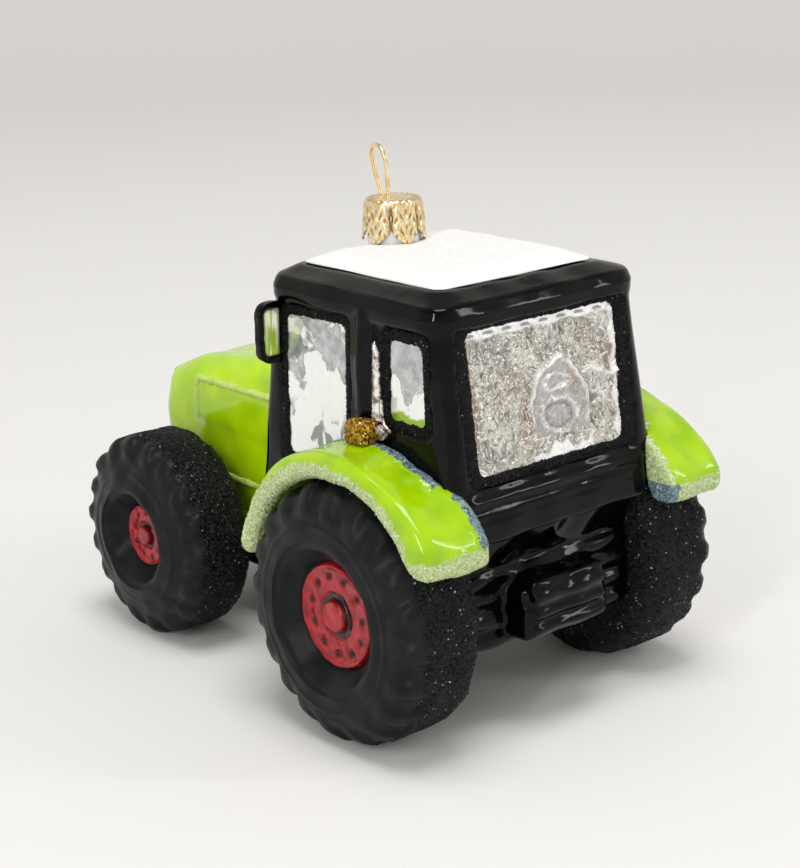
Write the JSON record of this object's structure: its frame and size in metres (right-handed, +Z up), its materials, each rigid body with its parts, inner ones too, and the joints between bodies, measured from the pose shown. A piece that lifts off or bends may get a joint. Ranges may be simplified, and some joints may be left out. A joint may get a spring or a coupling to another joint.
{
  "type": "glass tractor ornament",
  "caption": "Blown-glass hanging ornament in the form of a farm tractor with a hollow cab, glittered tyres, a crown cap and a wire loop.",
  "frame": {"origin": "on the floor, under the middle of the outline", "axes": "+X forward, +Y to the tractor's left, +Z up"},
  "size_m": [0.1152, 0.079, 0.1018],
  "materials": {
    "black_tyre": "matte black lacquer on glass with coarse black glitter on the tread",
    "red_lacquer": "glossy red lacquer on blown glass",
    "black_lacquer": "glossy black lacquer on blown glass",
    "green_lacquer": "glossy lime lacquer on blown glass, glittered edges",
    "white_glitter": "white lacquer strewn with fine white glitter",
    "silvered_glass": "clear glass silvered on the inside, rippled",
    "gold_glitter": "lacquer strewn with coarse gold glitter",
    "clear_glass": "clear blown glass",
    "gold_cap": "embossed gold-coloured sheet metal"
  },
  "bodies": {
    "figure": {"bonnet": "green_lacquer", "bonnet_panel_left": "green_lacquer", "bonnet_panel_right": "green_lacquer", "bonnet_skirt": "green_lacquer", "cab_frame": "black_lacquer", "cab_underside": "black_lacquer", "chassis": "black_lacquer", "door_window_left": "silvered_glass", "door_window_right": "silvered_glass", "fender_lamp_left": "gold_glitter", "fender_lamp_right": "gold_glitter", "fender_left": "green_lacquer", "fender_right": "green_lacquer", "front_axle": "black_lacquer", "front_weight": "black_lacquer", "grille": "black_lacquer", "headlamp_left": "silvered_glass", "headlamp_right": "silvered_glass", "hub_front_left": "red_lacquer", "hub_front_right": "red_lacquer", "hub_rear_left": "red_lacquer", "hub_rear_right": "red_lacquer", "mirror_frame_left": "black_lacquer", "mirror_frame_right": "black_lacquer", "mirror_glass_left": "silvered_glass", "mirror_glass_right": "silvered_glass", "neck": "clear_glass", "quarter_window_left": "silvered_glass", "quarter_window_right": "silvered_glass", "rear_axle": "black_lacquer", "rear_hitch": "black_lacquer", "rear_window": "silvered_glass", "roof": "black_lacquer", "roof_panel": "white_glitter", "side_post_left": "black_lacquer", "side_post_right": "black_lacquer", "tyre_front_left": "black_tyre", "tyre_front_right": "black_tyre", "tyre_rear_left": "black_tyre", "tyre_rear_right": "black_tyre", "windscreen": "silvered_glass"},
    "cap": {"cap": "gold_cap"},
    "hanger": {"hanger": "gold_cap"}
  },
  "joints": [
    {"name": "cap_lift", "type": "slide", "parent": "figure", "child": "cap", "axis": [0, 0, 1], "range_m": [0, 0.025]},
    {"name": "hanger_tilt", "type": "hinge", "parent": "cap", "child": "hanger", "pos_m": [-0.00722, 0.00154, 0.09115], "axis": [-0.9632, 0.2689, 0], "range_deg": [-12, 9]}
  ]
}
